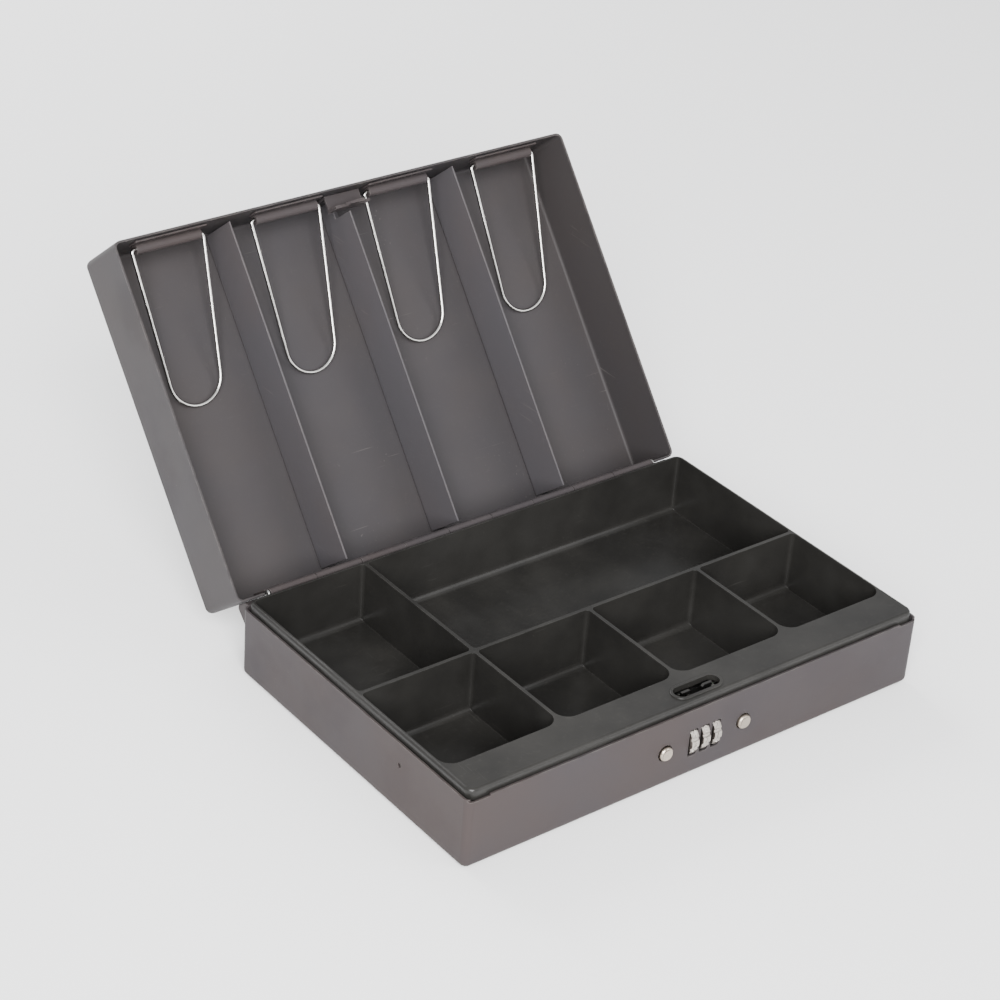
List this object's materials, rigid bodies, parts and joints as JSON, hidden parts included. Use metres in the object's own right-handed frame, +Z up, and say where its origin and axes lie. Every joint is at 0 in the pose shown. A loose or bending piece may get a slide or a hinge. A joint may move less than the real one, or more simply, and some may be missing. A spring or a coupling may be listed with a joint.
{
  "type": "cash box",
  "caption": "Low steel cash box with a number lock and push buttons, a lift-out tray of note and coin compartments, and a hinged lid that holds notes under wire clips.",
  "frame": {"origin": "middle of the base's underside", "axes": "+X to the box's right, +Y from the lock towards the hinge, +Z up"},
  "size_m": [0.292, 0.3499, 0.1913],
  "materials": {
    "paint": "satin grey enamel with a slight warm tint",
    "tray_plastic": "satin near-black moulding",
    "wire": "bright plated spring wire",
    "zinc": "zinc-plated steel",
    "dark_steel": "chemically blackened steel",
    "dial_metal": "die-cast metal, satin",
    "button_metal": "nickel-plated, satin"
  },
  "bodies": {
    "case": {"base_shell": "paint", "lid_stop_left": "paint", "lid_stop_right": "paint", "hinge_leaf_base": "paint", "hinge_pin": "zinc", "lock_case": "zinc", "dial_axle": "zinc", "detent_spring": "zinc", "bolt_stud_left": "zinc", "bolt_stud_right": "zinc"},
    "tray": {"tray": "tray_plastic"},
    "lid": {"lid_shell": "paint", "hinge_leaf_lid": "paint", "lid_strike": "paint", "lid_divider_left": "paint", "lid_divider_middle": "paint", "lid_divider_right": "paint", "clip_bracket_1": "paint", "clip_bracket_2": "paint", "clip_bracket_3": "paint", "clip_bracket_4": "paint"},
    "clip_1": {"clip_wire_1": "wire", "clip_spring_1": "zinc"},
    "clip_2": {"clip_wire_2": "wire", "clip_spring_2": "zinc"},
    "clip_3": {"clip_wire_3": "wire", "clip_spring_3": "zinc"},
    "clip_4": {"clip_wire_4": "wire", "clip_spring_4": "zinc"},
    "dial_left": {"dial_left": "dial_metal"},
    "dial_middle": {"dial_middle": "dial_metal"},
    "dial_right": {"dial_right": "dial_metal"},
    "bolt_left": {"bolt_left": "dark_steel", "bolt_spring_left": "zinc"},
    "button_left": {"button_left": "button_metal", "button_spring_left": "zinc"},
    "bolt_right": {"bolt_right": "dark_steel", "bolt_spring_right": "zinc"},
    "button_right": {"button_right": "button_metal", "button_spring_right": "zinc"}
  },
  "joints": [
    {"name": "lid_hinge", "type": "hinge", "parent": "case", "child": "lid", "pos_m": [0, 0.099, 0.04], "axis": [-1, 0, 0], "range_deg": [-129, 0]},
    {"name": "tray_lift", "type": "slide", "parent": "case", "child": "tray", "axis": [0, 0, 1], "range_m": [0, 0.07]},
    {"name": "clip_1_lift", "type": "hinge", "parent": "lid", "child": "clip_1", "pos_m": [-0.1095, 0.2289, 0.18007], "axis": [-1, 0, 0], "range_deg": [0, 40], "stiffness_Nm_per_rad": 0.05, "springref_deg": -34.38, "deforming": ["clip_spring_1"]},
    {"name": "clip_2_lift", "type": "hinge", "parent": "lid", "child": "clip_2", "pos_m": [-0.0365, 0.2289, 0.18007], "axis": [-1, 0, 0], "range_deg": [0, 40], "stiffness_Nm_per_rad": 0.05, "springref_deg": -34.38, "deforming": ["clip_spring_2"]},
    {"name": "clip_3_lift", "type": "hinge", "parent": "lid", "child": "clip_3", "pos_m": [0.0365, 0.2289, 0.18007], "axis": [-1, 0, 0], "range_deg": [0, 40], "stiffness_Nm_per_rad": 0.05, "springref_deg": -34.38, "deforming": ["clip_spring_3"]},
    {"name": "clip_4_lift", "type": "hinge", "parent": "lid", "child": "clip_4", "pos_m": [0.1095, 0.2289, 0.18007], "axis": [-1, 0, 0], "range_deg": [0, 40], "stiffness_Nm_per_rad": 0.05, "springref_deg": -34.38, "deforming": ["clip_spring_4"]},
    {"name": "dial_left_turn", "type": "hinge", "parent": "case", "child": "dial_left", "pos_m": [-0.0064, -0.089, 0.0195], "axis": [1, 0, 0], "continuous": true},
    {"name": "dial_middle_turn", "type": "hinge", "parent": "case", "child": "dial_middle", "pos_m": [0.001, -0.089, 0.0195], "axis": [1, 0, 0], "continuous": true},
    {"name": "dial_right_turn", "type": "hinge", "parent": "case", "child": "dial_right", "pos_m": [0.0084, -0.089, 0.0195], "axis": [1, 0, 0], "continuous": true},
    {"name": "button_left_press", "type": "slide", "parent": "case", "child": "button_left", "axis": [0, 1, 0], "range_m": [0, 0.003], "stiffness_N_per_m": 300, "springref_m": -0.003, "deforming": ["button_spring_left"]},
    {"name": "bolt_left_slide", "type": "slide", "parent": "case", "child": "bolt_left", "axis": [-1, 0, 0], "range_m": [0, 0.003], "stiffness_N_per_m": 100, "springref_m": -0.003, "deforming": ["bolt_spring_left"]},
    {"name": "button_right_press", "type": "slide", "parent": "case", "child": "button_right", "axis": [0, 1, 0], "range_m": [0, 0.003], "stiffness_N_per_m": 300, "springref_m": -0.003, "deforming": ["button_spring_right"]},
    {"name": "bolt_right_slide", "type": "slide", "parent": "case", "child": "bolt_right", "axis": [1, 0, 0], "range_m": [0, 0.003], "stiffness_N_per_m": 100, "springref_m": -0.003, "deforming": ["bolt_spring_right"]}
  ],
  "couplings": [
    {"joint": "bolt_left_slide", "follows": "button_left_press", "ratio": 1},
    {"joint": "bolt_right_slide", "follows": "button_right_press", "ratio": 1}
  ]
}
